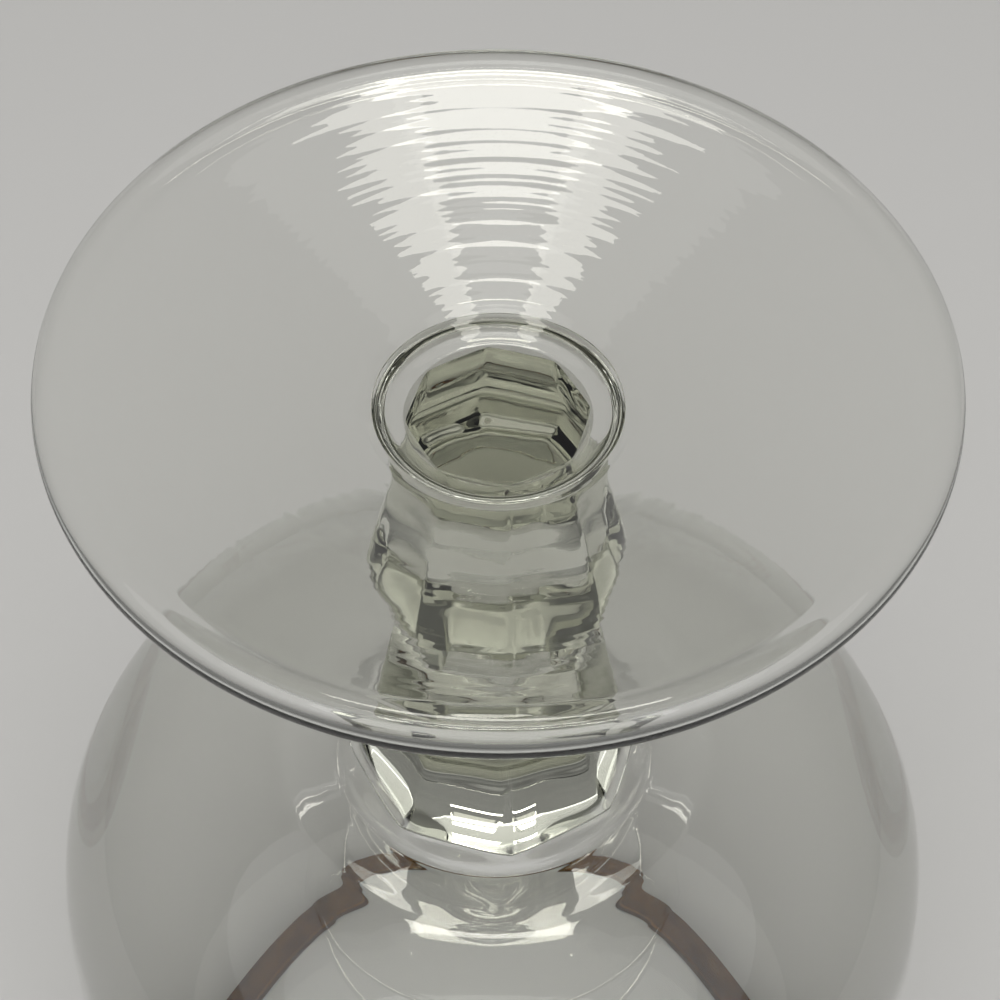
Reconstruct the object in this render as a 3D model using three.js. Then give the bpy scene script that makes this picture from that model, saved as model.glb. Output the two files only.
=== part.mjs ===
// A blown and pressed glass goblet, stored as it is photographed: upside down on the rim of its bowl,
// foot uppermost. Millimetres, +Z up, the origin at the centre of the rim's plane. "Depth" is measured
// down from the foot's contact plane, because that is the end that the photograph shows best.

import { Color, Group, LatheGeometry, Mesh, MeshStandardMaterial, SplineCurve, Vector2 } from "three";

// Overall sizes
const HEIGHT = 149; // rim plane to the foot's contact plane
const ROUND_STEPS = 64; // facets round a turned piece
const JOINT_GAP = 0.3; // clearance left where two pieces of glass are joined

// Foot: a shallow hollow cone with a rounded edge
const FOOT_RADIUS = 40;
const FOOT_EDGE_THICKNESS = 2.8;
const FOOT_MIDDLE_THICKNESS = 4.4; // where the collar's pad begins
const CONTACT_INNER_RADIUS = 36.6; // inside of the flat ring that the goblet stands on in use
const HOLLOW_TIP_RADIUS = 7; // the cone is rounded over inside this
const HOLLOW_SLOPE = 0.122; // rise over run that the cone would have at the axis
const HOLLOW_STEEPENING = 0.0025; // how much that grows for each millimetre outwards
const FOOT_PAD_RADIUS = 11.4; // flat under the foot that takes the collar

// Collar between foot and stem
const COLLAR_RADIUS = 10.8;
const COLLAR_THICKNESS = 2;
const COLLAR_ROUNDING = 0.9;

// Stem: an eight-sided baluster, radii measured to its arrises
const STEM_SIDES = 8;
const STEM_TURN_DEG = 7; // how far the arrises are turned from the sides of the frame
const STEM_NECK_RADIUS = 8.8;
const STEM_SHOULDER = { depth: 17.5, radius: 9.4 };
const STEM_BULGE = { depth: 29, radius: 12.2 };
const STEM_WAIST = { depth: 38, radius: 9.9 };
const STEM_FLARE = { depth: 49.5, radius: 12 };
const STEM_END_RADIUS = 15.2;
const STEM_STEPS = 26;

// Bowl: a low round shoulder, widest a third of the way to the rim, then drawn in
const CROWN_DEPTH = 59.5;
const CROWN_PAD_RADIUS = 15.4; // flat on the crown that takes the stem
const WIDEST_DEPTH = 87.6;
const WIDEST_RADIUS = 47.7;
const RIM_RADIUS = 35.9;
const WALL = 1.5;
const CROWN_THICKNESS = 7.5;
const RIM_WALL = 1.4;
const LIP_ROUNDING = 0.4;
const SHOULDER_POWER = 3; // 2 is an ellipse, more is squarer
const TAPER_POWER = 2.35;
const SHOULDER_STEPS = 12;
const TAPER_STEPS = 12;

// Gold band fired on to the outside of the rim
const GILDING_HEIGHT = 2.6;
const GILDING_ABOVE_LIP = 0.8;
const GILDING_CLEARANCE = 0.25;
const GILDING_THICKNESS = 0.35;

const padDepth = hollowDepth(FOOT_PAD_RADIUS) + FOOT_MIDDLE_THICKNESS;
const collarTop = padDepth + JOINT_GAP;
const stemTop = collarTop + COLLAR_THICKNESS + JOINT_GAP;
const stemEnd = CROWN_DEPTH - JOINT_GAP;

function clearGlass(red, green, blue) {
  return new MeshStandardMaterial({
    color: new Color(red, green, blue),
    roughness: 0.04,
    metalness: 0,
    transparent: true,
    opacity: 0.35,
  });
}

function firedGold() {
  return new MeshStandardMaterial({ color: new Color(0.33, 0.17, 0.06), roughness: 0.3, metalness: 1 });
}

// A profile point: distance from the axis, and depth below the foot's contact plane.
function at(radius, depth) {
  return new Vector2(radius, HEIGHT - depth);
}

// Turns a profile round the upright axis.
function turned(name, profile, material, sides = ROUND_STEPS, turnDeg = 0) {
  const geometry = new LatheGeometry(profile, sides, (turnDeg * Math.PI) / 180);
  geometry.rotateX(Math.PI / 2);
  const mesh = new Mesh(geometry, material);
  mesh.name = name;
  return mesh;
}

// Points on a rounded corner, from one angle to another, about a centre.
function rounded(radius, depth, rounding, fromDeg, toDeg, steps) {
  const points = [];
  for (let i = 0; i <= steps; i += 1) {
    const angle = ((fromDeg + ((toDeg - fromDeg) * i) / steps) * Math.PI) / 180;
    points.push(at(radius + rounding * Math.cos(angle), depth + rounding * Math.sin(angle)));
  }
  return points;
}

// Depth of the hollow under the foot: a cone that is steeper towards the contact ring, with a rounded tip.
function hollowDepth(radius) {
  const r = Math.max(radius, HOLLOW_TIP_RADIUS);
  const run = CONTACT_INNER_RADIUS - r;
  const cone = run * (HOLLOW_SLOPE + (HOLLOW_STEEPENING * (CONTACT_INNER_RADIUS + r)) / 2);
  const tipSlope = HOLLOW_SLOPE + HOLLOW_STEEPENING * HOLLOW_TIP_RADIUS;
  const inward = Math.min(radius / HOLLOW_TIP_RADIUS, 1);
  return cone + ((tipSlope * HOLLOW_TIP_RADIUS) / 3) * (1 - inward ** 3);
}

function footThickness(radius) {
  const outward = (radius - FOOT_PAD_RADIUS) / (FOOT_RADIUS - FOOT_EDGE_THICKNESS / 2 - FOOT_PAD_RADIUS);
  return FOOT_MIDDLE_THICKNESS + (FOOT_EDGE_THICKNESS - FOOT_MIDDLE_THICKNESS) * outward ** 0.8;
}

function foot() {
  const edge = FOOT_EDGE_THICKNESS / 2;
  const hollowRadii = [2, 4, HOLLOW_TIP_RADIUS, 12, 18, 24, 30, CONTACT_INNER_RADIUS];
  const backRadii = [36, 33, 27, 21, 16, 13];
  const profile = [
    at(0, padDepth),
    at(FOOT_PAD_RADIUS, padDepth),
    ...backRadii.reverse().map((r) => at(r, hollowDepth(r) + footThickness(r))),
    ...rounded(FOOT_RADIUS - edge, edge, edge, 90, -90, 8),
    ...hollowRadii.reverse().map((r) => at(r, hollowDepth(r))),
    at(0, hollowDepth(0)),
  ];
  return turned("foot", profile, clearGlass(0.86, 0.88, 0.84));
}

function stemCollar() {
  const middle = COLLAR_RADIUS - COLLAR_ROUNDING;
  const profile = [
    at(0, collarTop + COLLAR_THICKNESS),
    ...rounded(middle, collarTop + COLLAR_THICKNESS - COLLAR_ROUNDING, COLLAR_ROUNDING, 90, 0, 4),
    ...rounded(middle, collarTop + COLLAR_ROUNDING, COLLAR_ROUNDING, 0, -90, 4),
    at(0, collarTop),
  ];
  return turned("stem_collar", profile, clearGlass(0.84, 0.86, 0.82));
}

function stem() {
  const outline = new SplineCurve([
    at(STEM_END_RADIUS, stemEnd),
    at(STEM_FLARE.radius, STEM_FLARE.depth),
    at(STEM_WAIST.radius, STEM_WAIST.depth),
    at(STEM_BULGE.radius, STEM_BULGE.depth),
    at(STEM_SHOULDER.radius, STEM_SHOULDER.depth),
    at(STEM_NECK_RADIUS, stemTop),
  ]);
  const profile = [at(0, stemEnd), ...outline.getPoints(STEM_STEPS), at(0, stemTop)];
  return turned("stem", profile, clearGlass(0.8, 0.82, 0.77), STEM_SIDES, STEM_TURN_DEG);
}

// One face of the bowl's wall, from the crown's edge down to the rim: a squared ellipse to the widest
// place, then a second one that tapers to the rim.
function wallLine(widest, crownDepth, rimRadius, rimDepth, startRadius) {
  const points = [];
  const dome = WIDEST_DEPTH - crownDepth;
  const startAngle = Math.asin((startRadius / widest) ** (SHOULDER_POWER / 2));
  for (let i = 0; i <= SHOULDER_STEPS; i += 1) {
    const angle = startAngle + ((Math.PI / 2 - startAngle) * i) / SHOULDER_STEPS;
    const radius = widest * Math.sin(angle) ** (2 / SHOULDER_POWER);
    points.push(at(radius, WIDEST_DEPTH - dome * Math.abs(Math.cos(angle)) ** (2 / SHOULDER_POWER)));
  }
  const reach = (1 - (rimRadius / widest) ** TAPER_POWER) ** (1 / TAPER_POWER);
  for (let i = 1; i <= TAPER_STEPS; i += 1) {
    const down = i / TAPER_STEPS;
    const radius = widest * (1 - (down * reach) ** TAPER_POWER) ** (1 / TAPER_POWER);
    points.push(at(radius, WIDEST_DEPTH + (rimDepth - WIDEST_DEPTH) * down));
  }
  return points;
}

function bowl() {
  const outer = wallLine(WIDEST_RADIUS, CROWN_DEPTH, RIM_RADIUS, HEIGHT - LIP_ROUNDING, CROWN_PAD_RADIUS + 2);
  const inner = wallLine(
    WIDEST_RADIUS - WALL,
    CROWN_DEPTH + CROWN_THICKNESS,
    RIM_RADIUS - RIM_WALL,
    HEIGHT - LIP_ROUNDING,
    6,
  );
  const lip = [
    ...rounded(RIM_RADIUS - LIP_ROUNDING, HEIGHT - LIP_ROUNDING, LIP_ROUNDING, 0, 90, 3).slice(1),
    ...rounded(RIM_RADIUS - RIM_WALL + LIP_ROUNDING, HEIGHT - LIP_ROUNDING, LIP_ROUNDING, 90, 180, 3).slice(0, -1),
  ];
  const profile = [
    at(0, CROWN_DEPTH),
    at(CROWN_PAD_RADIUS, CROWN_DEPTH),
    ...outer,
    ...lip,
    ...inner.reverse(),
    at(0, CROWN_DEPTH + CROWN_THICKNESS),
  ];
  return turned("bowl", profile.reverse(), clearGlass(0.9, 0.91, 0.88));
}

// Radius of the bowl's outer face at a depth in its lower, tapering part.
function taperRadius(depth) {
  const reach = (1 - (RIM_RADIUS / WIDEST_RADIUS) ** TAPER_POWER) ** (1 / TAPER_POWER);
  const down = (depth - WIDEST_DEPTH) / (HEIGHT - LIP_ROUNDING - WIDEST_DEPTH);
  return WIDEST_RADIUS * (1 - (down * reach) ** TAPER_POWER) ** (1 / TAPER_POWER);
}

function rimGilding() {
  const lower = HEIGHT - GILDING_ABOVE_LIP;
  const upper = lower - GILDING_HEIGHT;
  const inset = GILDING_CLEARANCE;
  const outset = GILDING_CLEARANCE + GILDING_THICKNESS;
  const profile = [
    at(taperRadius(lower) + inset, lower),
    at(taperRadius(lower) + outset, lower),
    at(taperRadius(upper) + outset, upper),
    at(taperRadius(upper) + inset, upper),
    at(taperRadius(lower) + inset, lower),
  ];
  return turned("rim_gilding", profile, firedGold());
}

const group = new Group();
group.add(foot(), stemCollar(), stem(), bowl(), rimGilding());

export default group;
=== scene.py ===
# %% [markdown]
# # A clear glass goblet, stored upside down on its rim
# This lesson dresses five plain solids as a goblet of clear glass: a rippled, hollow foot, a collar, a
# pressed eight-sided stem, a blown bowl and a band of fired gold at the rim. The solids give the sizes.
# Every piece is turned round one axis, so the lesson is about outlines, about joining pieces of glass so
# that no seam shows, and about light.

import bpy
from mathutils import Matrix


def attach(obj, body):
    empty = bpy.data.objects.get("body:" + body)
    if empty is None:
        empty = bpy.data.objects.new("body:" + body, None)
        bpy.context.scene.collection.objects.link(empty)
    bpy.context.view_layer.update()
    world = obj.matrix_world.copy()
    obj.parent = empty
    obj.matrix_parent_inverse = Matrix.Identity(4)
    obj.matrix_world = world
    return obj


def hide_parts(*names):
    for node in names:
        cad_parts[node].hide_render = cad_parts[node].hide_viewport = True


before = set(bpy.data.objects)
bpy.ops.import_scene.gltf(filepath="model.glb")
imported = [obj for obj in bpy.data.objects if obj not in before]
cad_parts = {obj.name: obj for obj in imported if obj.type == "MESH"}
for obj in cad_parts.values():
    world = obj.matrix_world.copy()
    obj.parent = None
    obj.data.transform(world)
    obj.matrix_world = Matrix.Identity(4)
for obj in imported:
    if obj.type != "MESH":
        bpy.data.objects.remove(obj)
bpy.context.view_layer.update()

# %% [markdown]
# The goblet is drawn in millimetres, and each point is given by its distance from the axis and its depth
# below the foot's contact plane, because the foot is uppermost. Blender works in metres with the height
# measured up from the table, so one function turns the one into the other.

# %% Units
from math import acos, asin, cos, pi, radians, sin, sqrt

import bpy
from mathutils import Matrix, Vector

MM = 0.001
HEIGHT = 149  # the foot's contact plane above the table, mm


def metres(outline):
    """Turns (radius, depth) points in millimetres into (radius, height) points in metres."""
    return [(radius * MM, (HEIGHT - depth) * MM) for radius, depth in outline]


# %% [markdown]
# A glassmaker's curves have no corners, so most outlines are drawn through a few measured points with a
# smooth line. A Bezier curve would do as well, but a line through the points themselves (a Catmull-Rom
# spline) keeps each measured radius exactly.

# %% Smooth lines and rounded edges


def smooth_line(points, count):
    """Puts count points on a smooth line through the given ones."""
    ends = [tuple(2 * a - b for a, b in zip(points[0], points[1]))]
    ends += [tuple(2 * a - b for a, b in zip(points[-1], points[-2]))]
    line = [ends[0], *points, ends[1]]
    result = []
    for step in range(count):
        place = step * (len(points) - 1) / (count - 1)
        i = min(int(place), len(points) - 2)
        t = place - i
        point = []
        for p, q, r, s in zip(*line[i : i + 4]):
            bend = (2 * p - 5 * q + 4 * r - s) * t**2
            twist = (3 * q - p - 3 * r + s) * t**3
            point.append(0.5 * (2 * q + (r - p) * t + bend + twist))
        result.append(tuple(point))
    return result


def rounded(radius, depth, rounding, start, end, steps):
    """Points on an arc about (radius, depth). Angles are in degrees, 0 outwards and 90 downwards."""
    angles = [radians(start + (end - start) * i / steps) for i in range(steps + 1)]
    return [(radius + rounding * cos(a), depth + rounding * sin(a)) for a in angles]


# %% [markdown]
# Every piece starts as a small plane merged to a single point. The outline grows from it by one extrusion
# after another, and Spin carries it once round the axis. The seam and the poles are merged, and then the
# faces are turned outwards, because light bends the wrong way at glass whose faces point inwards.

# %% Turn an outline into a solid
WELD_DISTANCE = MM / 1000  # points closer than this become one
ROUND_STEPS = 192


def turn(name, outline, steps):
    """Turns an outline round the upright axis, as a closed mesh of its own."""
    points = metres(outline)
    bpy.ops.object.select_all(action="DESELECT")
    bpy.ops.mesh.primitive_plane_add(size=MM, location=(points[0][0], 0, points[0][1]))
    piece = bpy.context.object
    piece.name = piece.data.name = name
    bpy.ops.object.mode_set(mode="EDIT")
    bpy.ops.mesh.merge(type="CENTER")
    for start, end in zip(points, points[1:]):
        step = (end[0] - start[0], 0, end[1] - start[1])
        bpy.ops.mesh.extrude_region_move(TRANSFORM_OT_translate={"value": step})
    bpy.ops.mesh.select_all(action="SELECT")
    bpy.ops.mesh.spin(steps=steps, angle=2 * pi, center=(0, 0, 0), axis=(0, 0, 1))
    bpy.ops.mesh.select_all(action="SELECT")
    bpy.ops.mesh.remove_doubles(threshold=WELD_DISTANCE)
    bpy.ops.mesh.normals_make_consistent(inside=False)
    bpy.ops.object.mode_set(mode="OBJECT")
    bpy.ops.object.transform_apply(location=True, rotation=False, scale=False)
    bpy.ops.object.shade_smooth()
    print(name, "has", len(piece.data.polygons), "faces")
    return piece


# %% [markdown]
# ## Where glass meets glass
# The real pieces were joined hot, so there is no surface between them. Here each is a closed mesh of its
# own, and two of them meet at a level plane with a hair's breadth between. The faces on that plane are
# marked, and the glass material lets light through them unbent. One solid mesh would look the same, but
# the pieces would no longer be separate.

# %% Joint planes
JOINT_HAIR = 0.01  # half of the gap at a joint, mm
FOOT_JOINT = 9.09  # depth of the joint of foot and collar
NECK_JOINT = 11.39  # of collar and stem
CROWN_JOINT = 59.0  # of stem and bowl
LEVEL = 0.999  # a face lies level if its normal is this upright


def mark_joints(piece, depths):
    """Marks the level faces on a piece's joint planes, in a face attribute that the material reads."""
    heights = [(HEIGHT - depth) * MM for depth in depths]
    mark = piece.data.attributes.new("joint", "FLOAT", "FACE")
    count = 0
    for face in piece.data.polygons:
        level = abs(face.normal.z) > LEVEL
        near = any(abs(face.center.z - height) < 2 * JOINT_HAIR * MM for height in heights)
        mark.data[face.index].value = 1.0 if level and near else 0.0
        count += level and near
    print(piece.name, "has", count, "joint faces")


# %% [markdown]
# ## The foot
# The foot is a plate 80 mm across with a rounded edge. Its underside is hollowed to a shallow cone that
# gets a little steeper outwards, and a flat ring round it carries the goblet in use. A few heights joined
# by a smooth line would look right in outline, but the slope decides where a window is mirrored. So the
# slope is written down, and the heights are summed from it.

# %% Hollow of the foot
CONTACT_INNER_RADIUS = 36.6
RING_CORNER = 0.7  # width over which the hollow runs out into the flat ring
RING_START = 0.5  # the line starts this far out on the ring
HOLLOW_TIP_RADIUS = 7
HOLLOW_SLOPE = 0.122  # rise over run that the cone would have at the axis
HOLLOW_STEEPENING = 0.0025  # how much that grows for each millimetre outwards


def hollow_slope(radius):
    """Rise over run of the hollow at a radius, eased over the rounded tip and the corner at the ring."""
    slope = HOLLOW_SLOPE + HOLLOW_STEEPENING * radius
    tip = min(radius / HOLLOW_TIP_RADIUS, 1) ** 2
    corner = min(max((CONTACT_INNER_RADIUS + RING_CORNER / 2 - radius) / RING_CORNER, 0), 1)
    return slope * tip * corner * corner * (3 - 2 * corner)


def hollow_line(step=0.25):
    """The hollow from the contact ring to the axis, summed from its slope."""
    radius = CONTACT_INNER_RADIUS + RING_START
    line = [(radius, 0.0)]
    while radius > step:
        depth = line[-1][1] + hollow_slope(radius - step / 2) * step
        radius -= step
        line.append((radius, depth))
    line.append((0.0, line[-1][1]))
    return line


hollow = hollow_line()
print("the hollow is", round(hollow[-1][1], 2), "mm deep")

# %% Thickness of the foot
FOOT_RADIUS = 40
FOOT_EDGE_THICKNESS = 3.3
FOOT_MIDDLE_THICKNESS = 4.4
FOOT_PAD_RADIUS = 11.4
THINNING_POWER = 0.8  # below 1, so the foot thins most near the collar


def hollow_depth(radius):
    """Depth of the hollow at a radius, read between two points of its line."""
    for outer, inner in zip(hollow, hollow[1:]):
        if inner[0] <= radius <= outer[0]:
            share = (radius - inner[0]) / (outer[0] - inner[0])
            return inner[1] + (outer[1] - inner[1]) * share
    return 0.0


def foot_back(radius):
    """Depth of the foot's side that faces the stem, at a radius."""
    run = FOOT_RADIUS - FOOT_EDGE_THICKNESS / 2 - FOOT_PAD_RADIUS
    outward = min(max(radius - FOOT_PAD_RADIUS, 0) / run, 1)
    thinning = FOOT_EDGE_THICKNESS - FOOT_MIDDLE_THICKNESS
    thickness = FOOT_MIDDLE_THICKNESS + thinning * outward**THINNING_POWER
    return hollow_depth(radius) + thickness


print("halfway out the foot is", round(foot_back(20) - hollow_depth(20), 2), "mm thick")

# %% [markdown]
# The edge is nearly a full round, because it was melted smooth in the flame. The other side is drawn
# through the hollow's depth plus the glass's thickness, and its last points are a small fillet into the
# collar.

# %% Foot
EDGE_ROUNDING = 1.6
EDGE_STEPS = 14
BACK_STEPS = 90
RING_RADIUS = 37.9  # a point that holds the ring flat up to the edge
BACK_START = (38.2, FOOT_EDGE_THICKNESS - 0.02)
BACK_RADII = (36.5, 33, 29, 25, 21, 17.5, 14.5, 12.8)
FILLET_POINT = (12.1, 8.88)
FOOT_JOINT_RADIUS = 11.5
edge_middle = FOOT_RADIUS - EDGE_ROUNDING
lower_middle = FOOT_EDGE_THICKNESS - EDGE_ROUNDING
back_points = [
    BACK_START,
    *[(radius, foot_back(radius)) for radius in BACK_RADII],
    FILLET_POINT,
    (FOOT_JOINT_RADIUS, FOOT_JOINT - JOINT_HAIR),
]
foot_outline = [
    *hollow[::-1],
    (RING_RADIUS, 0.0),
    *rounded(edge_middle, EDGE_ROUNDING, EDGE_ROUNDING, -89, -2, EDGE_STEPS),
    *rounded(edge_middle, lower_middle, EDGE_ROUNDING, 2, 84, EDGE_STEPS),
    *smooth_line(back_points, BACK_STEPS),
    (0.0, FOOT_JOINT - JOINT_HAIR),
]
foot = turn("foot_glass", foot_outline, ROUND_STEPS)
mark_joints(foot, [FOOT_JOINT - JOINT_HAIR])

# %% [markdown]
# ## The collar
# A ring of glass, nearly 22 mm across, joins the foot to the stem. Glassmakers drop it on hot, so it
# flows into the foot on one side and is rounded on the other, where it stands out beyond the stem's neck.
# A torus would be quicker, but its section would be the same on both sides.

# %% Collar
NECK_RADIUS = 8.8
COLLAR_STEPS = 28
collar_points = [
    (FOOT_JOINT_RADIUS, FOOT_JOINT + JOINT_HAIR),
    (11.15, 9.4),
    (10.95, 9.8),
    (10.85, 10.3),
    (10.6, 10.8),
    (10.1, 11.12),
    (9.4, 11.3),
]
collar_outline = [
    (0.0, FOOT_JOINT + JOINT_HAIR),
    *smooth_line(collar_points, COLLAR_STEPS),
    (NECK_RADIUS, NECK_JOINT - JOINT_HAIR),
    (0.0, NECK_JOINT - JOINT_HAIR),
]
collar = turn("collar_glass", collar_outline, ROUND_STEPS)
mark_joints(collar, [FOOT_JOINT + JOINT_HAIR, NECK_JOINT - JOINT_HAIR])

# %% [markdown]
# ## The stem
# The stem is pressed: hot glass is squeezed in a mould with eight flats. It is made the same way here. A
# round blank is turned first, and then each of its points is moved in to the flat it lies behind. Turning
# with only eight steps would give the flats too, but with knife-sharp arrises between them. The real ones
# were melted a little round in the flame, and they catch the light because of it.

# %% Press the flats
STEM_SIDES = 8
STEM_TURN = radians(7)  # the photograph shows the arrises turned by this much
ARRIS_REACH = 0.99  # an arris reaches out to this share of the blank's radius
ARRIS_SHARPNESS = 40  # the higher, the tighter the arris is rounded


def press_flats(piece, share):
    """Moves a turned blank's points in to eight flats. share gives how far, from 0 to 1, at a depth."""
    corner = 2 * pi / STEM_SIDES
    for vertex in piece.data.vertices:
        x, y, z = vertex.co
        radius = sqrt(x * x + y * y)
        if radius < MM / 10:
            continue  # on the axis, so there is nothing to press
        angle = acos(max(-1.0, min(1.0, x / radius))) * (1 if y >= 0 else -1)
        from_middle = (angle - STEM_TURN) % corner - corner / 2
        flat = cos(corner / 2) / cos(from_middle)
        softened = (flat**-ARRIS_SHARPNESS + ARRIS_REACH**-ARRIS_SHARPNESS) ** (-1 / ARRIS_SHARPNESS)
        scale = 1 + share(HEIGHT - z / MM) * (softened - 1)
        vertex.co.x *= scale
        vertex.co.y *= scale
    piece.data.update()


def turn_to_flats(piece):
    """Turns a blank round the axis, so that its points lie on the arrises and evenly between them."""
    bpy.ops.object.select_all(action="DESELECT")
    piece.select_set(True)
    bpy.ops.transform.rotate(value=-STEM_TURN, orient_axis="Z", center_override=(0, 0, 0))
    bpy.ops.object.transform_apply(location=False, rotation=True, scale=False)


# %% [markdown]
# The stem's outline is measured at the arrises: a narrow neck at the collar, a knop, a waist, and a flare
# towards the bowl. The flats run from end to end.

# %% Stem
STEM_STEPS = 120
FLAT_STEPS = 16  # faces across one flat
stem_points = [
    (NECK_RADIUS, NECK_JOINT + JOINT_HAIR),
    (8.9, 13.2),
    (9.4, 17.5),
    (11.0, 23.5),
    (12.2, 29.0),
    (11.4, 33.5),
    (9.9, 37.5),
    (10.6, 42.5),
    (11.9, 49.0),
    (13.1, 53.5),
    (14.4, 57.0),
    (15.5, CROWN_JOINT - JOINT_HAIR),
]
stem_line = smooth_line(stem_points, STEM_STEPS)
CROWN_JOINT_RADIUS = stem_line[-1][0]
stem_outline = [(0.0, stem_line[0][1]), *stem_line, (0.0, stem_line[-1][1])]
stem = turn("stem_glass", stem_outline, STEM_SIDES * FLAT_STEPS)
turn_to_flats(stem)
press_flats(stem, lambda depth: 1.0)
mark_joints(stem, [NECK_JOINT + JOINT_HAIR, CROWN_JOINT - JOINT_HAIR])

# %% [markdown]
# ## The bowl
# The bowl was blown, so its wall is thin, 1.5 mm, and grows thicker over the shoulder towards the stem,
# where the glass was gathered. The crown round the stem is nearly level, and so is the bottom inside,
# because such surfaces mirror and bend the window behind the goblet in the way the photograph shows. From
# there the section is a squared ellipse to the widest place and a second one that draws in to the rim.
# Two ellipses take a few numbers, where a line through points would need a dozen and could get a dent.

# %% Lines of the bowl
CROWN_DEPTH = 59.5
WIDEST_DEPTH = 87.6
WIDEST_RADIUS = 47.7
RIM_RADIUS = 35.9
WALL = 1.5
RIM_WALL = 1.4
TAPER_POWER = 2.35  # 2 is an ellipse, more is squarer
TAPER_STEPS = 40


def shoulder(widest, pole, start_radius, steps, power):
    """The squared ellipse from the crown to the widest place. pole is its depth at the axis."""
    start = asin((start_radius / widest) ** (power / 2))
    line = []
    for i in range(steps + 1):
        angle = start + (pi / 2 - start) * i / steps
        radius = widest * sin(angle) ** (2 / power)
        line.append((radius, WIDEST_DEPTH - (WIDEST_DEPTH - pole) * abs(cos(angle)) ** (2 / power)))
    return line


def taper(widest, rim, depth, steps=TAPER_STEPS):
    """The second ellipse, from the widest place down to the rim, which is at depth."""
    reach = (1 - (rim / widest) ** TAPER_POWER) ** (1 / TAPER_POWER)
    line = []
    for i in range(1, steps + 1):
        down = i / steps
        radius = widest * (1 - (down * reach) ** TAPER_POWER) ** (1 / TAPER_POWER)
        line.append((radius, WIDEST_DEPTH + (depth - WIDEST_DEPTH) * down))
    return line


# %% Outside of the bowl
LIP_ROUNDING = 0.4
SHOULDER_POWER = 3
SHOULDER_RADIUS = 26.5  # where the level crown gives way to the shoulder
SHOULDER_POLE = CROWN_DEPTH - 0.3  # its ellipse would peak here
SHOULDER_STEPS = 40
LEAD_STEPS = 30  # coarser, for the two points that lead the crown into the shoulder
CROWN_STEPS = 72
CROWN_STEPS_LEFT_OUT = 6  # where the shoulder's own points take over
LIP_STEPS = 8
lip_depth = HEIGHT - LIP_ROUNDING
crown_points = [
    (CROWN_JOINT_RADIUS, CROWN_JOINT + JOINT_HAIR),
    (16.1, 59.62),
    (16.8, 59.93),
    (17.4, 59.99),
    (18.6, 60.07),
    (20.2, 60.15),
    (21.8, 60.2),
    (22.6, 60.24),
    (23.6, 60.38),
    *shoulder(WIDEST_RADIUS, SHOULDER_POLE, SHOULDER_RADIUS, LEAD_STEPS, SHOULDER_POWER)[:2],
]
outer_line = [
    *smooth_line(crown_points, CROWN_STEPS)[:-CROWN_STEPS_LEFT_OUT],
    *shoulder(WIDEST_RADIUS, SHOULDER_POLE, SHOULDER_RADIUS, SHOULDER_STEPS, SHOULDER_POWER)[2:],
    *taper(WIDEST_RADIUS, RIM_RADIUS, lip_depth),
    *rounded(RIM_RADIUS - LIP_ROUNDING, lip_depth, LIP_ROUNDING, 10, 90, LIP_STEPS),
]
print("the bowl is", round(2 * max(radius for radius, depth in outer_line), 1), "mm across")

# %% Inside of the bowl
CROWN_THICKNESS = 7.5
BOTTOM_RADIUS = 12
BOTTOM_POWER = 2.5
BOTTOM_RISES = ((9.5, 0.12), (6.0, 0.15))  # radius, and height above the bottom's edge
BOTTOM_STEPS = 12
INNER_STEPS = 48
inner_widest = WIDEST_RADIUS - WALL
inner_rim = RIM_RADIUS - RIM_WALL
bottom_depth = CROWN_DEPTH + CROWN_THICKNESS
inner_shoulder = shoulder(inner_widest, bottom_depth, BOTTOM_RADIUS, INNER_STEPS, BOTTOM_POWER)
bottom_points = [(radius, inner_shoulder[0][1] - rise) for radius, rise in BOTTOM_RISES]
inner_line = [
    *rounded(inner_rim + LIP_ROUNDING, lip_depth, LIP_ROUNDING, 90, 170, LIP_STEPS),
    *taper(inner_widest, inner_rim, lip_depth)[::-1],
    *inner_shoulder[:1:-1],
    *smooth_line([inner_shoulder[1], *bottom_points], BOTTOM_STEPS),
]
print("the glass under the stem is", round(bottom_points[-1][1] - CROWN_JOINT, 1), "mm thick")

# %% [markdown]
# The flats of the stem don't stop at the joint. They die out in the first half millimetre of the bowl,
# so there the bowl's blank is pressed as well, by less and less.

# %% Bowl
FADE_FROM = CROWN_JOINT + 0.05
FADE_TO = CROWN_JOINT + 0.55


def ease(start, end, value):
    """Goes smoothly from 0 at start to 1 at end."""
    t = min(max((value - start) / (end - start), 0), 1)
    return t * t * (3 - 2 * t)


bowl_outline = [
    (0.0, CROWN_JOINT + JOINT_HAIR),
    *outer_line,
    *inner_line,
    (0.0, bottom_points[-1][1]),
]
bowl = turn("bowl_glass", bowl_outline, ROUND_STEPS)
turn_to_flats(bowl)
press_flats(bowl, lambda depth: 1 - ease(FADE_FROM, FADE_TO, depth))
mark_joints(bowl, [CROWN_JOINT + JOINT_HAIR])

# %% [markdown]
# ## The gilding
# Liquid gold was brushed round the rim and fired. The film is thinner than a hair. It could be painted
# on the bowl's own faces, but it is a piece of its own in the solids, so it is drawn as a very thin
# turned band that follows the bowl's wall.

# %% Gilding
GILDING_START = 145.6  # depths of its two edges
GILDING_END = 148.2
GILDING_SIDES = (0.02, 0.08)  # how far its two sides are from the bowl's wall
FINE_STEPS = 400  # so that the band's edges fall where they are given
wall_line = taper(WIDEST_RADIUS, RIM_RADIUS, lip_depth, FINE_STEPS)
wall_line = [point for point in wall_line if GILDING_START < point[1] < GILDING_END]
near, far = GILDING_SIDES
gilding_outline = [(radius + near, depth) for radius, depth in wall_line[::2]]
gilding_outline += [(radius + far, depth) for radius, depth in wall_line[::-2]]
gilding_outline.append(gilding_outline[0])
gilding = turn("rim_gold", gilding_outline, ROUND_STEPS)

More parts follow.
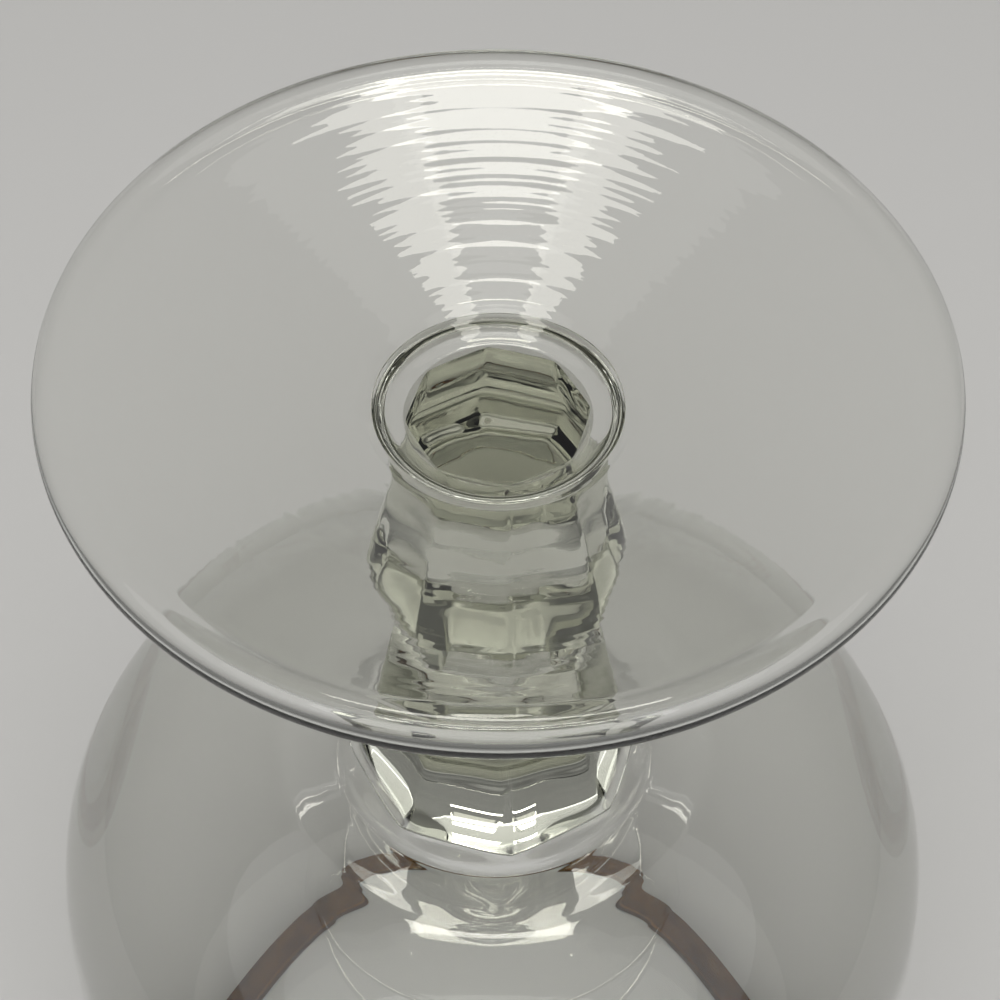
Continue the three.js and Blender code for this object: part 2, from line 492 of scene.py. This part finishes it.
# %% [markdown]
# ## Materials
# One small function adds a node with its settings and its links, so that a material reads as a list of
# steps. Colours are written as the hex values that a screen shows, and another function turns them to the
# linear numbers that the shaders use.

# %% Node and colour helpers


def linear(colour):
    """Turns an sRGB hex colour such as 8a6f3c into linear red, green, blue and alpha."""
    parts = [int(colour[i : i + 2], 16) / 255 for i in (0, 2, 4)]
    return (*[p / 12.92 if p <= 0.04045 else ((p + 0.055) / 1.055) ** 2.4 for p in parts], 1.0)


def add(tree, kind, settings=None, inputs=None, links=None):
    """Adds a node, sets its properties and the values of its inputs, and links inputs to other outputs."""
    node = tree.nodes.new(kind)
    for name, value in (settings or {}).items():
        setattr(node, name, value)
    for name, value in (inputs or {}).items():
        node.inputs[name].default_value = value
    for name, source in (links or {}).items():
        tree.links.new(source, node.inputs[name])
    return node


def new_material(name):
    """An empty material and its output node."""
    material = bpy.data.materials.new(name)
    material.use_nodes = True
    material.node_tree.nodes.clear()
    return material, add(material.node_tree, "ShaderNodeOutputMaterial")


# %% [markdown]
# ### Soda-lime glass
# Common table glass has a refractive index of 1.52. It is faintly green, because its sand holds a little
# iron. The green is inside the glass, so it is made with absorption and not with paint: a thin wall looks
# clear, while the foot's edge and the stem, where light travels far through the glass, go olive. The foot
# shows more of it than the rest, so its glass is given more. The faces marked as joints are transparent.
# Lamps also shine straight through to the table, dimmed, because a path tracer hardly finds a lamp
# through glass that bends its light.

# %% Glass material
GLASS_IOR = 1.52
ABSORPTION_COLOUR = linear("d3d5c2")
ABSORPTION_PER_METRE = 30
FOOT_ABSORPTION_PER_METRE = 55
LAMP_LIGHT_THROUGH = linear("848681")


def clear_glass(name, absorption=ABSORPTION_PER_METRE, height=None):
    """Soda-lime glass. height is a function that adds the nodes of a relief and returns a bump's output."""
    material, output = new_material(name)
    tree = material.node_tree
    surface = add(
        tree,
        "ShaderNodeBsdfPrincipled",
        inputs={
            "Base Color": (1, 1, 1, 1),
            "Transmission Weight": 1.0,
            "IOR": GLASS_IOR,
            "Roughness": 0.0,
        },
    )
    if height is not None:
        tree.links.new(height(tree), surface.inputs["Normal"])
    clear = add(tree, "ShaderNodeBsdfTransparent")
    joint = add(tree, "ShaderNodeAttribute", {"attribute_type": "GEOMETRY", "attribute_name": "joint"})
    joined = add(
        tree,
        "ShaderNodeMixShader",
        links={0: joint.outputs["Fac"], 1: surface.outputs[0], 2: clear.outputs[0]},
    )
    lit = add(tree, "ShaderNodeBsdfTransparent", inputs={"Color": LAMP_LIGHT_THROUGH})
    path = add(tree, "ShaderNodeLightPath")
    both = add(
        tree,
        "ShaderNodeMixShader",
        links={0: path.outputs["Is Shadow Ray"], 1: joined.outputs[0], 2: lit.outputs[0]},
    )
    inside = add(
        tree,
        "ShaderNodeVolumeAbsorption",
        inputs={"Color": ABSORPTION_COLOUR, "Density": absorption},
    )
    tree.links.new(both.outputs[0], output.inputs["Surface"])
    tree.links.new(inside.outputs[0], output.inputs["Volume"])
    return material


# %% [markdown]
# ### Ripples of the foot
# A foot is worked flat while it turns, and the tool leaves fine rings, a millimetre or two apart and a
# few thousandths of a millimetre high. They break up the mirrored window. A Wave texture would draw them
# evenly, as on a record. Noise that changes quickly along the radius and slowly round the ring gives
# uneven ones, as a hand does. A fine and a broad layer are added, and a bump takes their real height.

# %% Foot relief
RING_SPACINGS = (0.65, 1.7)  # mm
RING_HEIGHTS = (0.005, 0.011)  # mm
RING_SEEDS = (1.0, 7.0)
RING_DRIFT = 30  # mm round the foot over which a ring changes
FACING_UP = 0.5  # least height of the normal on the hollow side


def ring_marks(tree, spacing, height, seed):
    """Uneven rings about the foot's axis, as a height in metres."""
    place = add(tree, "ShaderNodeTexCoord")
    split = add(tree, "ShaderNodeSeparateXYZ", links={0: place.outputs["Object"]})
    level = add(tree, "ShaderNodeCombineXYZ", links={0: split.outputs["X"], 1: split.outputs["Y"]})
    radius = add(tree, "ShaderNodeVectorMath", {"operation": "LENGTH"}, links={0: level.outputs[0]})
    along = add(
        tree, "ShaderNodeMath", {"operation": "DIVIDE"}, {1: spacing * MM}, {0: radius.outputs["Value"]}
    )
    slowly = 1 / (RING_DRIFT * MM)
    drift = add(
        tree, "ShaderNodeVectorMath", {"operation": "SCALE"}, {"Scale": slowly}, {0: level.outputs[0]}
    )
    around = add(tree, "ShaderNodeSeparateXYZ", links={0: drift.outputs[0]})
    at = add(
        tree,
        "ShaderNodeCombineXYZ",
        links={0: along.outputs[0], 1: around.outputs["X"], 2: around.outputs["Y"]},
    )
    noise = add(
        tree,
        "ShaderNodeTexNoise",
        {"noise_dimensions": "4D"},
        {"W": seed, "Scale": 1.0, "Detail": 0.0},
        {"Vector": at.outputs[0]},
    )
    return add(
        tree, "ShaderNodeMath", {"operation": "MULTIPLY"}, {1: height * MM}, {0: noise.outputs[0]}
    ).outputs[0]


def foot_relief(tree):
    """The tool's rings on the hollow side, which faces up."""
    fine, broad = (
        ring_marks(tree, spacing, height, seed)
        for spacing, height, seed in zip(RING_SPACINGS, RING_HEIGHTS, RING_SEEDS)
    )
    both = add(tree, "ShaderNodeMath", {"operation": "ADD"}, links={0: fine, 1: broad})
    geometry = add(tree, "ShaderNodeNewGeometry")
    facing = add(tree, "ShaderNodeSeparateXYZ", links={0: geometry.outputs["Normal"]})
    upward = add(
        tree, "ShaderNodeMath", {"operation": "GREATER_THAN"}, {1: FACING_UP}, {0: facing.outputs["Z"]}
    )
    marks = add(
        tree, "ShaderNodeMath", {"operation": "MULTIPLY"}, links={0: both.outputs[0], 1: upward.outputs[0]}
    )
    bump = add(
        tree, "ShaderNodeBump", inputs={"Strength": 1.0, "Distance": 1.0}, links={"Height": marks.outputs[0]}
    )
    return bump.outputs[0]


# %% [markdown]
# ### Fired gold
# A fired gold film is bright where light falls on it. It is seen here from behind, through the glass,
# where it is a dull brown. Years of washing have worn it in patches a few millimetres wide, so noise
# mixes two browns. The firing leaves it less smooth than polished metal, hence the roughness.

# %% Gold material
WORN_PATCH = 10 / 3  # mm
GOLD_ROUGHNESS = 0.38
GOLD_TONES = ((0.35, "6a3e0a"), (0.7, "8a5a1a"))  # place on the ramp, and colour


def fired_gold(name):
    """A brown gold film with worn patches."""
    material, output = new_material(name)
    tree = material.node_tree
    place = add(tree, "ShaderNodeTexCoord")
    patches = add(
        tree,
        "ShaderNodeTexNoise",
        inputs={"Scale": 1 / (WORN_PATCH * MM), "Detail": 3.0},
        links={"Vector": place.outputs["Object"]},
    )
    worn = add(tree, "ShaderNodeValToRGB", links={0: patches.outputs[0]})
    for element, (position, colour) in zip(worn.color_ramp.elements, GOLD_TONES):
        element.position = position
        element.color = linear(colour)
    metal = add(
        tree,
        "ShaderNodeBsdfPrincipled",
        inputs={"Metallic": 1.0, "Roughness": GOLD_ROUGHNESS},
        links={"Base Color": worn.outputs[0]},
    )
    tree.links.new(metal.outputs[0], output.inputs["Surface"])
    return material


# %% [markdown]
# Each piece of glass gets a material of its own, named for how it was made. The bowl's faces under the
# gilding, and the lip, get the gold as well, so that no bare glass shows between the band and the rim.

# %% Give each piece its material
GOLD_INSET = 0.15  # mm, which keeps the gold off the bowl's inner face
foot.data.materials.append(
    clear_glass("foot soda-lime glass, rippled", FOOT_ABSORPTION_PER_METRE, foot_relief)
)
collar.data.materials.append(clear_glass("collar soda-lime glass"))
stem.data.materials.append(clear_glass("stem soda-lime glass, pressed"))
bowl.data.materials.append(clear_glass("bowl soda-lime glass, blown"))
gold = fired_gold("fired gold film")
gilding.data.materials.append(gold)
bowl.data.materials.append(gold)
gilded = 0
for face in bowl.data.polygons:
    depth = HEIGHT - face.center.z / MM
    clear_of_inside = Vector(face.center.xy).length > (inner_rim + GOLD_INSET) * MM
    outer_or_lip = face.normal.xy.dot(face.center.xy) > 0 or depth > lip_depth
    if depth > GILDING_START and clear_of_inside and outer_or_lip:
        face.material_index = 1
        gilded += 1
print(gilded, "faces of the bowl lie under the gold")

# %% [markdown]
# ## Table, light and camera
# The goblet stands on a plain pale table, which is much larger than what the camera sees of it.

# %% Table
TABLE_SIZE = 6  # metres
TABLE_COLOUR = linear("bcbbb9")
TABLE_ROUGHNESS = 0.6
TABLE_GLOSS = 0.3  # below the usual 0.5, so that the lamps leave no sheen on it
bpy.ops.object.select_all(action="DESELECT")
bpy.ops.mesh.primitive_plane_add(size=TABLE_SIZE, location=(0, 0, 0))
table = bpy.context.object
table.name = "table"
table_material, table_output = new_material("plain pale table")
table_surface = add(
    table_material.node_tree,
    "ShaderNodeBsdfPrincipled",
    inputs={
        "Base Color": TABLE_COLOUR,
        "Roughness": TABLE_ROUGHNESS,
        "Specular IOR Level": TABLE_GLOSS,
    },
)
table_material.node_tree.links.new(table_surface.outputs[0], table_output.inputs["Surface"])
table.data.materials.append(table_material)
print("the table is", TABLE_SIZE, "m wide")

# %% [markdown]
# A broad soft light hangs over the table, a little in front of the goblet. The glass mirrors it, and one
# lamp would show there as a shape with a sharp outline. Three round lamps of growing size in the same
# place fade out instead.

# %% Soft light overhead


def soft_lamp(name, place, size, aim, radiance, colour=(1, 1, 1), shape="RECTANGLE"):
    """An area lamp of a given brightness, turned towards a point."""
    lamp = bpy.data.lights.new(name, "AREA")
    lamp.shape = shape
    lamp.color = colour
    lamp.size, lamp.size_y = size
    lamp.energy = radiance * pi * size[0] * size[1]
    holder = bpy.data.objects.new(name, lamp)
    bpy.context.scene.collection.objects.link(holder)
    holder.location = place
    holder.rotation_euler = (Vector(aim) - Vector(place)).to_track_quat("-Z", "Y").to_euler()
    return holder


OVERHEAD_PLACE = (0, -0.45, 0.9)  # metres
OVERHEAD_AIM = (0, -0.45, 0)
OVERHEAD_SIZES = (0.8, 1.2, 1.7)
OVERHEAD_POWER = 5.4  # shared equally by the three
for wide in OVERHEAD_SIZES:
    radiance = OVERHEAD_POWER / len(OVERHEAD_SIZES) / wide**2
    name = f"soft light {wide} m wide"
    soft_lamp(name, OVERHEAD_PLACE, (wide, wide), OVERHEAD_AIM, radiance, shape="DISK")
print(len(OVERHEAD_SIZES), "soft lamps hang over the table")

# %% [markdown]
# A window is what the hollow of the foot mirrors, in a bright V. The slopes of the hollow say where it
# must stand: high behind the goblet and far away, with two slanted panes at its sides. A narrow pane under
# it shows in the stem's end, and a light near the ceiling shows in the bowl's crown below that, as a white
# lens. Each pane is given by its place and size on a sheet that faces the foot from one unit away.

# %% Window panes
WINDOW_DISTANCE = 6  # metres
WINDOW_RISE = radians(54)
DAYLIGHT = (1.0, 0.985, 0.9)
towards = Vector((0, cos(WINDOW_RISE), sin(WINDOW_RISE)))
upwards = Vector((0, -sin(WINDOW_RISE), cos(WINDOW_RISE)))
window_base = Vector((0, 0, 0.145))  # the hollow of the foot
# (across, up), (width, height), slant in degrees, brightness
panes = {
    "window pane above": ((0, 0.204), (0.136, 0.062), 0, 8.0),
    "window pane left": ((-0.065, 0.145), (0.028, 0.075), 20, 4.8),
    "window pane right": ((0.065, 0.145), (0.028, 0.075), -20, 4.8),
    "window pane middle": ((0, 0.135), (0.1, 0.075), 0, 0.7),
    "window pane below": ((0, 0.055), (0.16, 0.012), 0, 9.0),
    "ceiling light": ((0, 0.46), (0.3, 0.06), 0, 16.0),
}
for name, ((across, up), (width, tall), slant, radiance) in panes.items():
    middle = towards + upwards * up + Vector((across, 0, 0))
    size = (WINDOW_DISTANCE * width, WINDOW_DISTANCE * tall)
    pane = soft_lamp(name, window_base + middle * WINDOW_DISTANCE, size, window_base, radiance, DAYLIGHT)
    slanted = pane.rotation_euler.to_matrix() @ Matrix.Rotation(radians(slant), 3, "Z")
    pane.rotation_euler = slanted.to_euler()
print(len(panes), "panes stand", WINDOW_DISTANCE, "m away")

# %% [markdown]
# Clear glass is drawn by what it bends into view. So the world is a dim room with a paler ceiling, which
# gives the glass something dark to show at its sides, and the low walls before and behind are pale. The
# camera itself sees a plain pale background instead, which Light Path gives it without adding any light.

# %% World
ROOM_WALLS = 0.1  # grey levels, where 1 is white
ROOM_CEILING = 0.28
PALE_WALL = 0.5
BACKGROUND = 0.42
CEILING_FROM, CEILING_TO = 0.3, 0.6  # how high a direction points, from 0, level, to 1, straight up
PALE_BELOW = (0.35, 0.2)  # the same, where the pale walls fade in
PALE_BEYOND = (0.6, 0.9)  # how straight to the front or back, where they fade in too


def grey(level):
    """A grey as red, green, blue and alpha."""
    return (level, level, level, 1)


world = bpy.data.worlds.new("dim room")
bpy.context.scene.world = world
world.use_nodes = True
sky = world.node_tree
direction = add(sky, "ShaderNodeTexCoord")
rise = add(sky, "ShaderNodeSeparateXYZ", links={0: direction.outputs["Generated"]})
shade = add(sky, "ShaderNodeValToRGB", links={0: rise.outputs["Z"]})
shade.color_ramp.elements[0].position = CEILING_FROM
shade.color_ramp.elements[0].color = grey(ROOM_WALLS)
shade.color_ramp.elements[1].position = CEILING_TO
shade.color_ramp.elements[1].color = grey(ROOM_CEILING)

# %% Pale walls and background
facing = add(sky, "ShaderNodeMath", {"operation": "ABSOLUTE"}, links={0: rise.outputs["Y"]})
wall = add(
    sky, "ShaderNodeMapRange", inputs={1: PALE_BEYOND[0], 2: PALE_BEYOND[1]}, links={0: facing.outputs[0]}
)
low = add(
    sky, "ShaderNodeMapRange", inputs={1: PALE_BELOW[0], 2: PALE_BELOW[1]}, links={0: rise.outputs["Z"]}
)
pale = add(sky, "ShaderNodeMath", {"operation": "MULTIPLY"}, links={0: wall.outputs[0], 1: low.outputs[0]})
room = add(
    sky,
    "ShaderNodeMix",
    {"data_type": "RGBA"},
    {"B": grey(PALE_WALL)},
    {"Factor": pale.outputs[0], "A": shade.outputs[0]},
)
path = add(sky, "ShaderNodeLightPath")
seen = add(
    sky,
    "ShaderNodeMix",
    {"data_type": "RGBA"},
    {"B": grey(BACKGROUND)},
    {"Factor": path.outputs["Is Camera Ray"], "A": room.outputs["Result"]},
)
sky.links.new(seen.outputs["Result"], sky.nodes["Background"].inputs["Color"])
sky.nodes["Background"].inputs["Strength"].default_value = 1.0
print("the world has", len(sky.nodes), "nodes")

# %% [markdown]
# The camera's place was worked out from the photograph: with a lens of 86.4 mm, the foot's outline and
# the ring under it only fit from here, looking down by 51 degrees.

# %% Camera
LENS = 86.4  # mm, on a film 36 mm wide
FILM_WIDTH = 36
NEAREST = 0.01  # metres
CAMERA_PLACE = Vector((0.000265, -0.13893, 0.30112))
LOOK_DOWN = radians(51.16)
CAMERA_ROLL = radians(0.8)
camera_data = bpy.data.cameras.new("camera")
camera_data.lens = LENS
camera_data.sensor_width = FILM_WIDTH
camera_data.clip_start = NEAREST
camera = bpy.data.objects.new("camera", camera_data)
bpy.context.scene.collection.objects.link(camera)
forward = Vector((0, cos(LOOK_DOWN), -sin(LOOK_DOWN)))
up = Vector((0, sin(LOOK_DOWN), cos(LOOK_DOWN)))
right = forward.cross(up)
turned = Matrix((right, up, -forward)).transposed() @ Matrix.Rotation(CAMERA_ROLL, 3, "Z")
camera.matrix_world = Matrix.Translation(CAMERA_PLACE) @ turned.to_4x4()
bpy.context.scene.camera = camera
bpy.context.scene.view_settings.view_transform = "Standard"
print("the camera is", round(CAMERA_PLACE.length, 3), "m from the rim's middle")

# %% [markdown]
# Last, each piece is tied to the body it belongs to, and the solid it takes the place of is hidden.

# %% Tie the pieces to the solids
for piece, node, finish in (
    (foot, "foot", "foot_glass"),
    (collar, "stem_collar", "collar_glass"),
    (stem, "stem", "stem_glass"),
    (bowl, "bowl", "bowl_glass"),
    (gilding, "rim_gilding", "rim_gold"),
):
    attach(piece, "root")
    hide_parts(node)
